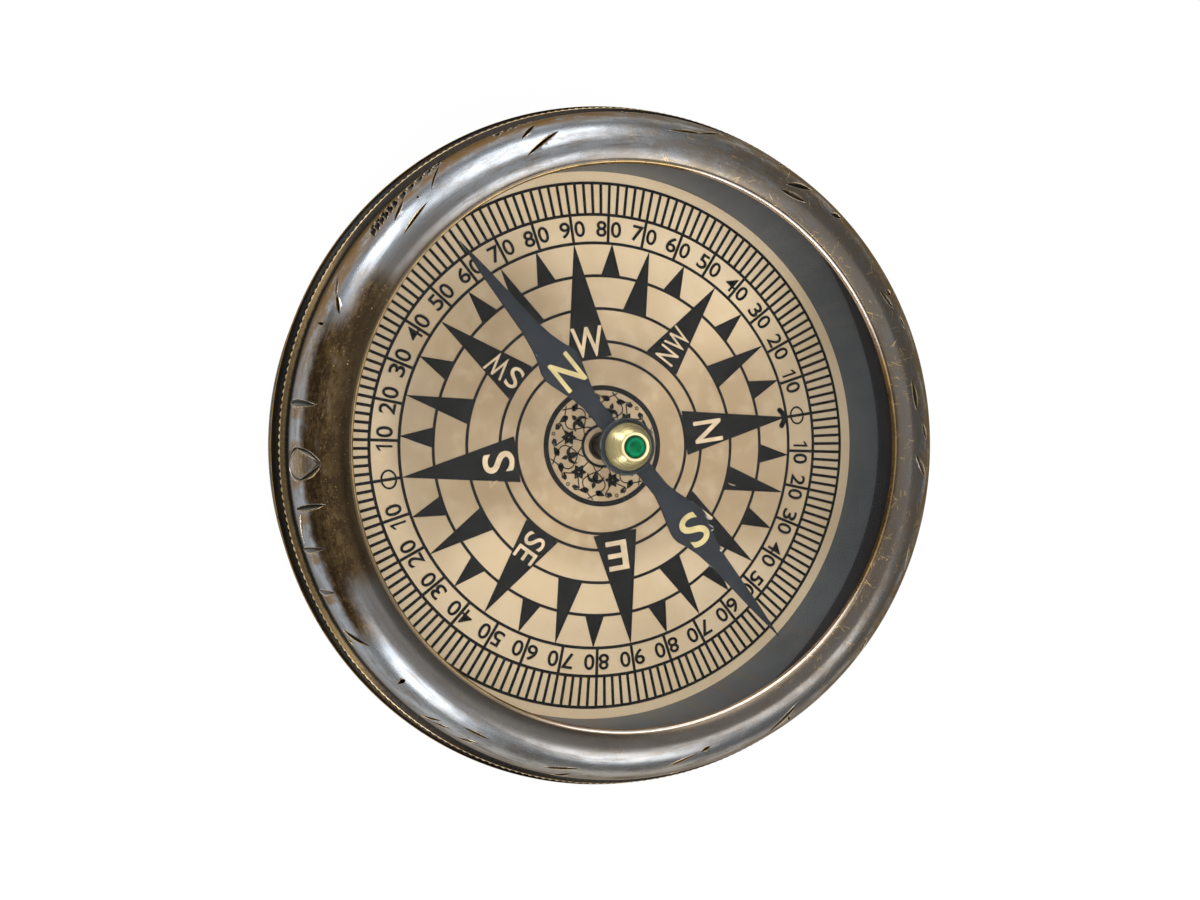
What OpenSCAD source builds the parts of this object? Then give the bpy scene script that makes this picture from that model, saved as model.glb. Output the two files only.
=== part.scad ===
// Magnetic compass: a drum case with a milled ring and a domed bezel,
// a printed card under flat glass, and a needle that turns on a pivot.
// Millimetres, +Z up through the glass, +Y towards the card's north, origin under the middle of the base.

/* [Card well] */
// Inner diameter of the well, which is how much of the card shows
view_d = 64.8; // [60:0.2:72]
// Height of the well from the card to its top edge
well_h = 12.6; // [11.5:0.1:16]
// Wall of the sleeve that lines the well
sleeve_t = 0.9; // [0.6:0.1:1.5]
// Play of the sleeve, the card and the glass in their bores
seat_gap = 0.1; // [0.05:0.01:0.2]

/* [Case] */
// Thickness of the case floor
floor_t = 2; // [1.2:0.1:4]
// Wall of the neck that carries the ring and the bezel
neck_wall = 1.6; // [1.2:0.1:3]
// Running play between the neck's screw thread and the rings on it
thread_gap = 0.05; // [0.03:0.01:0.1]
// How far the drum stands out past the milled ring
drum_step = 0.6; // [0.2:0.1:3]
// Radius on the drum's top and bottom edges
drum_round = 0.9; // [0.3:0.1:1.2]
// Depth of the dished underside
dish_depth = 0.4; // [0.2:0.1:0.8]
// Width of the rim that the case stands on
foot_w = 4; // [2:0.5:8]
// Width of the ledge under the card plate
ledge_w = 2.8; // [1.5:0.1:5]

/* [Milled ring] */
// Height of the milled ring
ring_h = 2.5; // [1.5:0.1:5]
// How far the milled edge stands out past the bezel
ring_step = 1.1; // [0.6:0.1:2.5]
// Number of teeth round the milled edge
teeth = 300; // [180:4:320]
// Depth of the teeth
tooth_depth = 0.28; // [0.15:0.01:0.35]
// Height of the sloped shoulder on top of the ring
shoulder_h = 0.4; // [0.2:0.05:0.6]
// Open groove between the ring and the bezel
groove_h = 0.5; // [0.3:0.05:1.5]

/* [Bezel] */
// Wall of the bezel's skirt round the neck
skirt_t = 1.45; // [1.2:0.05:2.5]
// How far the lip covers the edge of the well
lip_cover = 2.1; // [1.2:0.1:3.5]
// Thickness of the lip over the glass
lip_t = 0.5; // [0.4:0.05:1.2]
// Rise of the bezel's crown above the lip
crown_rise = 0.6; // [0.3:0.05:1.2]
// Height of the rounded bezel from its foot to its crown
bezel_h = 4.5; // [4.2:0.1:5.5]

/* [Glass] */
// Thickness of the glass
glass_t = 1; // [0.8:0.1:2]
// Thickness of the black seal over the glass
seal_t = 0.2; // [0.1:0.05:0.4]
// Thickness of the seat ring under the glass
seat_t = 0.5; // [0.3:0.05:1]
// How far the seat ring stands in from the sleeve
seat_in = 0.5; // [0.2:0.1:1]

/* [Card] */
// Thickness of the printed card
card_t = 0.25; // [0.15:0.05:0.5]
// Thickness of the plate behind the card
plate_t = 1; // [0.6:0.1:2]
// Thickness of the ink
ink_t = 0.04; // [0.02:0.01:0.08]
// Width of the printed lines
line_w = 0.34; // [0.2:0.02:0.5]
// Plain margin outside the degree scale
margin_w = 1.35; // [0.8:0.05:3]
// Length of the degree marks
tick_len = 3.7; // [2.5:0.1:4.5]
// Degrees from one mark to the next
tick_step = 2; // [2, 3, 5]
// Degrees from one numbered line to the next
number_step = 10; // [10, 15, 30]
// Width of the band for the degree numbers
number_w = 3.35; // [2.5:0.05:4]
// Width of each of the three bands of the rose
rose_w = 3.87; // [3:0.01:4.2]
// Width of the band inside the rose
inner_w = 1.95; // [1.2:0.05:2.4]
// Radius of the round field in the middle
field_r = 6.9; // [5:0.1:7.4]
// Width of the thick line round that field
field_line = 0.6; // [0.4:0.05:0.9]
// Gap from the post's flange to the small circle round it
eye_gap = 0.75; // [0.4:0.05:1.2]
// Half width of the four main points at their foot
main_half = 2.7; // [2:0.1:3.2]
// Half width of the four corner points at their foot
corner_half = 2.35; // [1.8:0.05:2.8]
// Half width of the eight half-wind points at their foot
half_half = 1.5; // [1:0.05:1.9]
// Half width of the sixteen small points at their foot
small_half = 1.18; // [0.8:0.02:1.4]

/* [Pivot] */
// Radius of the pivot post's flange on the card
flange_r = 1.7; // [1.4:0.05:2.2]
// Thickness of that flange
flange_t = 0.6; // [0.4:0.05:1]
// Radius of the post above its flange
post_r = 1.35; // [1.1:0.05:1.4]
// Height of the post above the card
post_h = 6.4; // [4:0.1:7]
// Radius of the post's top end
post_top_r = 0.8; // [0.6:0.05:1]
// Radius of the post's screwed tail
tail_r = 0.9; // [0.7:0.05:1.1]
// Radius of the steel pin
pin_r = 0.35; // [0.25:0.05:0.45]
// Length of the pin's ground point
point_h = 1.6; // [1:0.1:2]
// Depth that the pin is pressed into the post
pin_seat = 2.4; // [1.5:0.1:3]
// Thickness of the washer under the plate
washer_t = 0.4; // [0.3:0.05:0.8]
// Outer radius of that washer
washer_r = 2.4; // [2:0.1:3]
// Thickness of the nut
nut_t = 1.5; // [1:0.1:2]
// Width of the nut across its flats
nut_af = 4; // [3.4:0.1:5]
// Length of the screwed tail past the nut
tail_past = 0.3; // [0.1:0.1:0.6]
// Free space from the end of the tail to the floor
floor_gap = 1; // [0.5:0.1:3]

/* [Needle] */
// Distance from the pivot to each tip of the needle
arm_l = 28.8; // [24:0.1:29.5]
// Half width of the needle at its broad part
spear_half = 2.35; // [1.6:0.05:2.8]
// Half width of the needle next to the hub
waist_half = 0.95; // [0.7:0.05:1.2]
// Thickness of the needle
blade_t = 0.4; // [0.3:0.05:0.6]
// Bearing of the north tip, clockwise from the card's north
needle_bearing = 238.3; // [0:0.1:360]
// Radius of the black hub disc
hub_r = 3.2; // [2.9:0.05:3.6]
// Thickness of the hub disc
hub_t = 0.5; // [0.3:0.05:0.8]
// How far the hub disc reaches past the needle's round boss
hub_cover = 0.3; // [0.1:0.05:0.5]
// Radius of the brass cap at its foot
cap_r = 2.65; // [2.4:0.05:2.8]
// Height of the brass cap
cap_h = 2.6; // [2.2:0.1:3]
// Radius of the jewel's setting, which is also the cap's top
setting_r = 1.6; // [1.5:0.05:1.7]
// Height of the setting above the cap
setting_h = 0.3; // [0.2:0.05:0.5]
// Radius of the jewel
jewel_r = 1.26; // [1.18:0.02:1.3]
// Thickness of the jewel
jewel_t = 1.1; // [0.9:0.05:1.3]
// Depth of the bearing cup in the jewel's underside
cup_depth = 0.45; // [0.3:0.05:0.6]
// Radius of the mouth of that cup
cup_r = 0.55; // [0.45:0.05:0.7]
// Running gap from the pin's point to the cup
tip_gap = 0.05; // [0.02:0.01:0.1]
// Bore of the cap that the pin stands in
cap_bore_r = 0.9; // [0.8:0.05:1]
// Wall of the cap's shank through the needle
shank_t = 0.4; // [0.3:0.05:0.5]
// Radius of the ring that holds the cap under the needle
clinch_r = 2; // [1.8:0.05:2.4]
// Thickness of that ring
clinch_t = 0.4; // [0.3:0.05:0.6]
// Gap from the jewel to the glass
jewel_gap = 0.25; // [0.15:0.05:1]

/* [Hidden] */
$fn = 120;
// How far a cutter reaches past the face that it opens
cut = 0.5;
// Play between a pushed-in piece and its hole
fit_gap = 0.02;

// Radii from the well outwards
view_r = view_d / 2;
sleeve_r = view_r + sleeve_t;
bore_r = sleeve_r + seat_gap;
neck_r = bore_r + neck_wall;
thread_r = neck_r + thread_gap;
bezel_r = thread_r + skirt_t;
ring_r = bezel_r + ring_step;
drum_r = ring_r + drum_step;
lip_r = view_r - lip_cover;
cavity_r = bore_r - ledge_w;

// Heights from the base upwards
tail_l = card_t + plate_t + washer_t + nut_t + tail_past;
ledge_z = floor_t + floor_gap + tail_past + nut_t + washer_t;
plate_z = ledge_z + plate_t;
card_z = plate_z + card_t;
sleeve_z = card_z + well_h;
glass_z = sleeve_z + seat_t;
glass_top = glass_z + glass_t;
lip_z = glass_top + seal_t;
lip_top = lip_z + lip_t;
crown_z = lip_top + crown_rise;
foot_z = crown_z - bezel_h;
ring_top = foot_z - groove_h;
drum_h = ring_top - ring_h;
neck_top = sleeve_z + seat_t / 2;

// Bezel's outer round, a quarter circle whose centre lies under the crown
round_r = bezel_h;
round_x = bezel_r - round_r;

// Heights of the needle's pieces, from the glass down
jewel_top = glass_z - jewel_gap;
cap_top = jewel_top - setting_h;
cap_z = cap_top - cap_h;
hub_z = cap_z - hub_t;
blade_z = hub_z - blade_t;
clinch_z = blade_z - clinch_t;
shank_r = cap_bore_r + shank_t;
cup_z = jewel_top - jewel_t + cup_depth;
pin_tip_z = cup_z - tip_gap;
post_z = card_z + post_h;

// Radii of the printed circles, from the outside in
scale_r = view_r - margin_w;
tick_r = scale_r - tick_len;
rose_r = tick_r - number_w;
small_r = rose_r - rose_w;
half_r = small_r - rose_w;
corner_r = half_r - rose_w;
main_r = corner_r - inner_w;
eye_r = flange_r + eye_gap;

// Spear outline of half the needle, as shares of the arm and of the broad half width
spear = [[0.12, waist_half], [0.22, waist_half * 1.02], [0.27, spear_half * 0.55], [0.32, spear_half * 0.74],
    [0.37, spear_half * 0.94], [0.395, spear_half], [0.425, spear_half * 0.97], [0.465, spear_half * 0.77],
    [0.52, spear_half * 0.57], [0.6, spear_half * 0.42], [0.74, spear_half * 0.3], [0.855, spear_half * 0.19]];
count = len(spear);

function polar(r, bearing) = [r * sin(bearing), r * cos(bearing)];

module tube(outer, inner, low, high) {
    translate([0, 0, low])
        difference() {
            cylinder(r = outer, h = high - low);
            translate([0, 0, -cut]) cylinder(r = inner, h = high - low + 2 * cut);
        }
}

module disc(radius, low, high) {
    translate([0, 0, low]) cylinder(r = radius, h = high - low);
}

module case_body() {
    color("darkslategray")
        difference() {
            union() {
                rotate_extrude() drum_profile();
                disc(neck_r, floor_t, neck_top);
            }
            disc(bore_r, ledge_z, neck_top + cut);
            disc(cavity_r, floor_t, ledge_z + cut);
            disc(drum_r - foot_w, -cut, dish_depth);
        }
}

// Half section of the drum with both edges rounded by true arcs
module drum_profile() {
    square([drum_r - drum_round, drum_h]);
    translate([0, drum_round]) square([drum_r, drum_h - 2 * drum_round]);
    translate([drum_r - drum_round, drum_round]) circle(r = drum_round);
    translate([drum_r - drum_round, drum_h - drum_round]) circle(r = drum_round);
}

// The milled edge is one closed outline that steps between the tooth tips and the roots
module milled_ring() {
    root_r = ring_r - tooth_depth;
    step = 360 / teeth;
    flat = 0.16;
    shoulder_inset = 0.02;
    tooth_points = [for (i = [0 : teeth - 1]) each [
        polar(root_r, (i - flat) * step), polar(root_r, (i + flat) * step), polar(ring_r, (i + 0.5) * step)]];
    color("darkgoldenrod")
        difference() {
            union() {
                translate([0, 0, drum_h]) linear_extrude(height = ring_h - shoulder_h) polygon(tooth_points);
                translate([0, 0, ring_top - shoulder_h])
                    cylinder(r1 = root_r - shoulder_inset, r2 = root_r - 2 * shoulder_h, h = shoulder_h);
            }
            disc(thread_r, drum_h - cut, ring_top + cut);
        }
}

module bezel() {
    color("slategray")
        difference() {
            rotate_extrude() bezel_profile();
            disc(thread_r, foot_z - cut, neck_top + seat_gap);
            disc(bore_r, foot_z, lip_z);
        }
}

// Half section of the bezel: a rounded outside, a crown and a slope down to the lip
module bezel_profile() {
    intersection() {
        translate([round_x, foot_z]) circle(r = round_r);
        translate([round_x, foot_z]) square([round_r, round_r]);
    }
    polygon([[lip_r, foot_z + lip_t], [lip_r + lip_t, foot_z], [round_x, foot_z], [round_x, crown_z],
        [lip_r + lip_t / 2, lip_top], [lip_r, lip_top - lip_t / 2]]);
}

module glass() {
    color("lightcyan", 0.4) disc(sleeve_r, glass_z, glass_top);
}

module glass_seal() {
    color("black") tube(sleeve_r, lip_r + lip_t, glass_top, lip_z);
}

module glass_seat() {
    color("darkolivegreen") tube(sleeve_r, view_r - seat_in, sleeve_z, glass_z);
}

module well_sleeve() {
    color("dimgray") tube(sleeve_r, view_r, card_z, sleeve_z);
}

module dial_card() {
    color("burlywood") tube(sleeve_r, tail_r + fit_gap, plate_z, card_z);
}

module dial_plate() {
    color("tan") tube(sleeve_r, tail_r + fit_gap, ledge_z, plate_z);
}

module dial_print() {
    color("black")
        translate([0, 0, card_z])
            linear_extrude(height = ink_t) {
                scale_band();
                number_band();
                rose_points();
                ink_circle(field_r, field_line);
                ink_circle(eye_r, line_w);
            }
}

module ink_circle(radius, width) {
    difference() {
        circle(r = radius + width / 2);
        circle(r = radius - width / 2);
    }
}

// A printed band whose windows leave a line every few degrees
module windowed_band(outer, inner, pitch) {
    half = line_w / 2;
    difference() {
        circle(r = outer + half);
        circle(r = inner - half);
        for (bearing = [0 : pitch : 360 - pitch]) {
            outer_turn = asin(half / (outer - half));
            inner_turn = asin(half / (inner + half));
            polygon([polar(inner + half, bearing + inner_turn), polar(outer - half, bearing + outer_turn),
                polar(outer - half, bearing + pitch - outer_turn),
                polar(inner + half, bearing + pitch - inner_turn)]);
        }
    }
}

module scale_band() {
    windowed_band(scale_r, tick_r, tick_step);
}

module number_band() {
    ink_circle(rose_r, line_w);
    for (bearing = [0 : number_step : 360 - number_step])
        rotate(-bearing)
            translate([-line_w / 2, rose_r]) square([line_w, number_w]);
}

module rose_points() {
    for (radius = [main_r, corner_r, half_r, small_r]) ink_circle(radius, line_w);
    for (bearing = [0 : 90 : 270]) rose_point(bearing, main_r, main_half);
    for (bearing = [45 : 90 : 315]) rose_point(bearing, corner_r, corner_half);
    for (bearing = [22.5 : 45 : 337.5]) rose_point(bearing, half_r, half_half);
    for (bearing = [11.25 : 22.5 : 348.75]) rose_point(bearing, small_r, small_half);
}

// One point of the rose, from its foot on a circle to its tip under the number band
module rose_point(bearing, foot_r, half) {
    rotate(-bearing) polygon([[-half, foot_r], [half, foot_r], [0, rose_r]]);
}

module pivot_post() {
    color("saddlebrown")
        difference() {
            union() {
                disc(flange_r, card_z, card_z + flange_t);
                disc(post_r, card_z, card_z + flange_t + post_r);
                translate([0, 0, card_z + flange_t + post_r])
                    cylinder(r1 = post_r, r2 = post_top_r, h = post_h - flange_t - post_r);
                disc(tail_r, card_z - tail_l, card_z);
            }
            disc(pin_r + fit_gap, post_z - pin_seat, post_z + cut);
        }
}

module pivot_pin() {
    color("silver") {
        disc(pin_r, post_z - pin_seat, pin_tip_z - point_h);
        translate([0, 0, pin_tip_z - point_h]) cylinder(r1 = pin_r, r2 = 0, h = point_h);
    }
}

module pivot_washer() {
    color("goldenrod") tube(washer_r, tail_r + fit_gap, ledge_z - washer_t, ledge_z);
}

module pivot_nut() {
    top = ledge_z - washer_t;
    color("goldenrod")
        translate([0, 0, top - nut_t])
            difference() {
                cylinder(r = nut_af / 2 / cos(30), h = nut_t, $fn = 6);
                translate([0, 0, -cut]) cylinder(r = tail_r + fit_gap, h = nut_t + 2 * cut);
            }
}

module turned_to_bearing() {
    rotate([0, 0, -needle_bearing]) children();
}

module needle_blade() {
    right = [for (p = spear) [p[1], p[0] * arm_l]];
    left = [for (i = [count - 1 : -1 : 0]) [-spear[i][1], spear[i][0] * arm_l]];
    half_outline = concat(right, [[0, arm_l]], left);
    boss_r = hub_r - hub_cover;
    waist_l = arm_l * 0.26;
    color("black")
        translate([0, 0, blade_z])
            turned_to_bearing()
                linear_extrude(height = blade_t)
                    difference() {
                        union() {
                            polygon(half_outline);
                            rotate(180) polygon(half_outline);
                            circle(r = boss_r);
                            square([waist_half * 2, waist_l], center = true);
                        }
                        circle(r = shank_r + fit_gap);
                    }
}

module needle_hub() {
    color("black") tube(hub_r, shank_r + fit_gap, hub_z, cap_z);
}

// The cap is a cone with a short turned foot, a shank through the needle and a bore for the pin
module needle_cap() {
    foot_h = 0.35;
    seat_z = jewel_top - jewel_t;
    color("gold")
        difference() {
            union() {
                disc(cap_r, cap_z, cap_z + foot_h);
                translate([0, 0, cap_z + foot_h]) cylinder(r1 = cap_r, r2 = setting_r, h = cap_h - foot_h);
                disc(shank_r, clinch_z, cap_z);
            }
            disc(cap_bore_r, clinch_z - cut, seat_z + cut);
            disc(jewel_r + fit_gap, seat_z, cap_top + cut);
        }
}

module clinch_ring() {
    color("goldenrod") tube(clinch_r, shank_r + fit_gap, clinch_z, blade_z);
}

module jewel_setting() {
    color("wheat") tube(setting_r, jewel_r + fit_gap, cap_top, jewel_top);
}

module jewel() {
    seat_z = jewel_top - jewel_t;
    bevel = 0.15;
    color("green")
        difference() {
            union() {
                disc(jewel_r, seat_z, jewel_top - bevel);
                translate([0, 0, jewel_top - bevel]) cylinder(r1 = jewel_r, r2 = jewel_r - bevel, h = bevel);
            }
            translate([0, 0, seat_z]) cylinder(r1 = cup_r, r2 = 0, h = cup_depth);
        }
}

case_body();
milled_ring();
bezel();
glass();
glass_seal();
glass_seat();
well_sleeve();
dial_card();
dial_print();
dial_plate();
pivot_post();
pivot_pin();
pivot_washer();
pivot_nut();
needle_blade();
needle_hub();
needle_cap();
clinch_ring();
jewel_setting();
jewel();
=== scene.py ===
from math import atan2, cos, hypot, pi, radians, sin, sqrt, tau

import bmesh
import bpy
from mathutils import Matrix, Vector


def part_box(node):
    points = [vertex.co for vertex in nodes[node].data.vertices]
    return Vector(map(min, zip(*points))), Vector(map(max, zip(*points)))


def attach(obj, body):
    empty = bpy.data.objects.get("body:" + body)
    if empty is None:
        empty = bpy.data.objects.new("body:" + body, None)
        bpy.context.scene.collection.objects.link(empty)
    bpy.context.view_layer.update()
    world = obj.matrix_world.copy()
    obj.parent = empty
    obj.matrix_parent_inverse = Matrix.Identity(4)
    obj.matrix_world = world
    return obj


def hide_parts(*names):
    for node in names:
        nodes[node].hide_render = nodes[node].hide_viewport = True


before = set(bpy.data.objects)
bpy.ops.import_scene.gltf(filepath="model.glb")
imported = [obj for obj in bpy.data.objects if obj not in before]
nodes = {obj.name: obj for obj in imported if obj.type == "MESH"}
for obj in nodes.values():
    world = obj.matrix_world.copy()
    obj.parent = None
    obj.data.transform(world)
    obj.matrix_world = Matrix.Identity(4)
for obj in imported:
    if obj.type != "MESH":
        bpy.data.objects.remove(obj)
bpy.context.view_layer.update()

# Magnetic compass: finishes, engraving and print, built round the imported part
mm = 0.001
print("stage: frame loaded")


def foot(node):
    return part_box(node)[0].z / mm


def top(node):
    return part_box(node)[1].z / mm


def radius(node):
    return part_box(node)[1].x / mm


# Sizes in millimetres: what the frame doesn't give directly is a wall or a gap
walls = {"sleeve": 0.9, "lipCover": 2.1, "seatIn": 0.5, "lip": 0.5, "thread": 1.45, "seatGap": 0.1, "rise": 0.6,
         "drumRound": 0.9, "rim": 4.0, "dish": 0.4, "shoulder": 0.4, "tooth": 0.18, "ledge": 2.8, "floor": 2.0,
         "play": 0.05, "ringInset": 0.2}
cardZ = top("dial_card")
sleeveR = radius("well_sleeve")
viewR = sleeveR - walls["sleeve"]
lipR = viewR - walls["lipCover"]
bezelR = radius("bezel")
footZ = foot("bezel")
crownZ = top("bezel")
roundR = crownZ - footZ
roundX = bezelR - roundR
lipTop = crownZ - walls["rise"]
threadR = bezelR - walls["thread"]
drumR = radius("case_body")
drumTop = foot("milled_ring")
neckTop = top("case_body")
ringR = radius("milled_ring")
ringTop = top("milled_ring")
edgeTop = ringTop - walls["shoulder"]
northTurn = 81.57    # from the right of the picture to the card's east, in degrees
quarter = 90.0


# Mesh helpers

def arc(cx, cz, r, start, end, count):
    turns = [radians(start + (end - start) * i / count) for i in range(count + 1)]
    return [(cx + r * cos(t), cz + r * sin(t)) for t in turns]


def lathe(outline, steps):
    mesh = bmesh.new()
    points = [mesh.verts.new((r, 0, z)) for r, z in outline]
    for i, point in enumerate(points):
        mesh.edges.new((point, points[(i + 1) % len(points)]))
    bmesh.ops.spin(mesh, geom=mesh.verts[:] + mesh.edges[:], cent=(0, 0, 0), axis=(0, 0, 1), angle=tau, steps=steps,
                   use_merge=True)
    bmesh.ops.remove_doubles(mesh, verts=mesh.verts, dist=0.0005)
    bmesh.ops.recalc_face_normals(mesh, faces=mesh.faces)
    return mesh


def newObject(name, data):
    made = bpy.data.objects.new(name, data)
    bpy.context.scene.collection.objects.link(made)
    return made


def toObject(mesh, name, material, sharp=35):
    bmesh.ops.scale(mesh, vec=(mm, mm, mm), verts=mesh.verts)
    data = bpy.data.meshes.new(name)
    mesh.to_mesh(data)
    mesh.free()
    data.materials.append(material)
    data.polygons.foreach_set("use_smooth", [True] * len(data.polygons))
    data.set_sharp_from_angle(angle=radians(sharp))
    return newObject(name, data)


def place(piece, body, slot, *replaced):
    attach(piece, body)
    if replaced:
        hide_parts(*replaced)


def put(mesh, name, look, body, slot, *replaced, sharp=35):
    place(toObject(mesh, name, finish[look], sharp), body, slot, *replaced)


def evaluated(piece):
    depsgraph = bpy.context.evaluated_depsgraph_get()
    return bpy.data.meshes.new_from_object(piece.evaluated_get(depsgraph), depsgraph=depsgraph)


def joinInto(mesh, other, matrix=Matrix()):
    bmesh.ops.transform(other, matrix=matrix, verts=other.verts)
    data = bpy.data.meshes.new("part")
    other.to_mesh(data)
    other.free()
    mesh.from_mesh(data)
    bpy.data.meshes.remove(data)


def spun(angle):
    return Matrix.Rotation(radians(angle), 4, "Z")


def turned(angle, r, z, spin=0):
    return spun(angle) @ Matrix.Translation((0, r, z)) @ spun(spin)


def aside(shift):
    return Matrix.Translation((shift, 0, 0))


def oval(wide, high, count):
    turns = [tau * k / count for k in range(count)]
    return [(wide * cos(t), high * sin(t)) for t in turns]


# Material helpers: each adds to the nodes of the latest material

graph = {"material": None, "tree": None, "shader": None, "color": None}


def newMaterial(name, color, metallic, roughness):
    material = bpy.data.materials.new(name)
    material.use_nodes = True
    graph.update(material=material, tree=material.node_tree, color=color)
    graph["shader"] = material.node_tree.nodes["Principled BSDF"]
    setValue("Base Color", (*color, 1))
    setValue("Metallic", metallic)
    setValue("Roughness", roughness)
    return material


def setValue(name, value):
    graph["shader"].inputs[name].default_value = value


def feed(name, socket):
    graph["tree"].links.new(socket, graph["shader"].inputs[name])


def ground(color):
    # the first coat of a finish
    graph["color"] = color


def paint(share, color):
    # a coat over those before it
    graph["color"] = mixColor(share, graph["color"], color)


def finished(roughness=None):
    # the end of a finish
    feed("Base Color", graph["color"])
    if roughness is not None:
        feed("Roughness", roughness)
    return graph["material"]


def toSurface(share, first, second):
    both = add("MixShader", {0: share, 1: first.outputs[0], 2: second.outputs[0]})
    graph["tree"].links.new(both.outputs[0], graph["tree"].nodes["Material Output"].inputs["Surface"])


def add(kind, inputs=None, **settings):
    node = graph["tree"].nodes.new("ShaderNode" + kind)
    for key, value in settings.items():
        setattr(node, key, value)
    for key, value in (inputs or {}).items():
        if isinstance(value, bpy.types.NodeSocket):
            graph["tree"].links.new(value, node.inputs[key])
        else:
            node.inputs[key].default_value = value
    return node


def millimetres():
    coords = add("TexCoord").outputs["Object"]
    return add("Mapping", {"Vector": coords, "Scale": (1000, 1000, 1000)}).outputs["Vector"]


def noise(vector, scale, detail=3.0, roughness=0.55, distortion=0.0):
    return add("TexNoise", {"Vector": vector, "Scale": scale, "Detail": detail, "Roughness": roughness,
                            "Distortion": distortion}).outputs["Fac"]


def spread(value, low, high, outLow=0.0, outHigh=1.0):
    return add("MapRange", {"Value": value, "From Min": low, "From Max": high, "To Min": outLow, "To Max": outHigh},
               interpolation_type="SMOOTHSTEP").outputs["Result"]


def vary(value, middle, swing):
    return spread(value, 0.3, 0.7, middle - swing, middle + swing)


def calc(operation, a, b=0.0):
    return add("Math", {0: a, 1: b}, operation=operation).outputs[0]


def chain(operation, values):
    total = values[0]
    for value in values[1:]:
        total = calc(operation, total, value)
    return total


def times(*values):
    return chain("MULTIPLY", values)


def plus(*values):
    return chain("ADD", values)


def minus(*values):
    return chain("SUBTRACT", values)


def most(*values):
    return chain("MAXIMUM", values)


def mixColor(factor, a, b, blend="MIX"):
    # sockets 6 and 7 and output 2 are the node's colours
    a, b = ((*value, 1) if isinstance(value, tuple) else value for value in (a, b))
    return add("Mix", {0: factor, 6: a, 7: b}, data_type="RGBA", blend_type=blend).outputs[2]


def bump(height, distance):
    feed("Normal", add("Bump", {"Height": height, "Distance": distance * mm, "Strength": 1.0}).outputs["Normal"])


def aroundAxis(at):
    # the direction from the axis, and how far out and up a point lies
    flat = add("VectorMath", {0: at, 1: (1, 1, 0)}, operation="MULTIPLY").outputs[0]
    out = add("VectorMath", {0: flat}, operation="LENGTH").outputs["Value"]
    unit = add("VectorMath", {0: flat}, operation="NORMALIZE").outputs[0]
    return unit, out, add("SeparateXYZ", {"Vector": at}).outputs[2]


def newFinish(name, color, metallic, roughness):
    # a point on the new material in millimetres, and what aroundAxis says of the point
    newMaterial(name, color, metallic, roughness)
    at = millimetres()
    return at, *aroundAxis(at)


def streaks(unit, along, height, across, scale=1.0, detail=4.0, roughness=0.6):
    # noise that is drawn out round the axis, as turning and polishing leave it
    wide = add("VectorMath", {0: unit, 1: (along, along, 0)}, operation="MULTIPLY").outputs[0]
    tall = add("CombineXYZ", {2: calc("MULTIPLY", height, across)}).outputs[0]
    both = add("VectorMath", {0: wide, 1: tall}, operation="ADD").outputs[0]
    return noise(both, scale, detail, roughness)


def scratches(at, turns, along, across, start):
    # thin dashes in a few directions
    found = 0.0
    for turn in turns:
        bent = add("Mapping", {"Vector": at, "Rotation": (0, 0, radians(turn))}).outputs["Vector"]
        drawn = add("Mapping", {"Vector": bent, "Location": (turn, 0, 0), "Scale": (along, across, along)})
        dash = spread(noise(drawn.outputs["Vector"], 1.0, 1, 0.5), start, start + 0.03)
        found = most(found, dash)
    return found


def toward(unit, turn, near, far):
    # 1 on the side of the case that faces a turn of the picture, 0 past the far angle
    a = radians(turn + northTurn)
    side = add("VectorMath", {0: unit, 1: (cos(a), sin(a), 0)}, operation="DOT_PRODUCT")
    return spread(side.outputs["Value"], cos(radians(far)), cos(radians(near)))


# Camera: the solved place of the lens over the card, in the picture's own directions

view = {"tilt": 16.165, "side": 177.253, "distance": 143.63, "right": 0.307, "up": 0.490, "lens": 36.32}


def makeCamera():
    tilt, side = radians(view["tilt"]), radians(view["side"])
    back = Vector((sin(tilt) * cos(side), sin(tilt) * sin(side), cos(tilt)))
    right = Vector((0, 1, 0)).cross(back).normalized()
    up = back.cross(right)
    spot = back * view["distance"] - right * view["right"] - up * view["up"]
    axes = Matrix((right, up, back)).transposed().to_4x4()
    data = bpy.data.cameras.new("camera")
    data.sensor_width = 36
    data.lens = view["lens"]
    data.clip_start = 0.01
    camera = newObject("camera", data)
    camera.matrix_world = turned(northTurn, 0, cardZ * mm) @ Matrix.Translation(spot * mm) @ axes
    bpy.context.scene.camera = camera


makeCamera()

# Studio: soft boxes, low round three sides, and a broad dim panel overhead, over a white floor
studio = {"boxes": ((94, 37, 0.24, 0.27, 0.45, 3.5), (132, 33, 0.14, 0.22, 0.45, 5.2),
                    (-119, 37, 0.14, 0.23, 0.45, 5.5), (-72, 43, 0.15, 0.22, 0.45, 4.6),
                    (-36, 48, 0.14, 0.2, 0.45, 3.2), (0, 90, 0.9, 0.9, 0.7, 0.5)),
          "sky": 0.4, "floor": 3.0, "floorDown": 0.03, "floorWhite": 0.97, "floorGlow": 0.9}


def floorMaterial():
    white = studio["floorWhite"]
    material = newMaterial("floorWhite", (white, white, white), 0, 0.9)
    path = add("LightPath")
    seen = most(*(path.outputs[f"Is {kind} Ray"] for kind in ("Camera", "Glossy", "Transmission")))
    glow = add("Emission", {"Color": (1, 1, 1, 1), "Strength": 1.0})
    toSurface(times(seen, studio["floorGlow"]), graph["shader"], glow)
    return material


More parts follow.
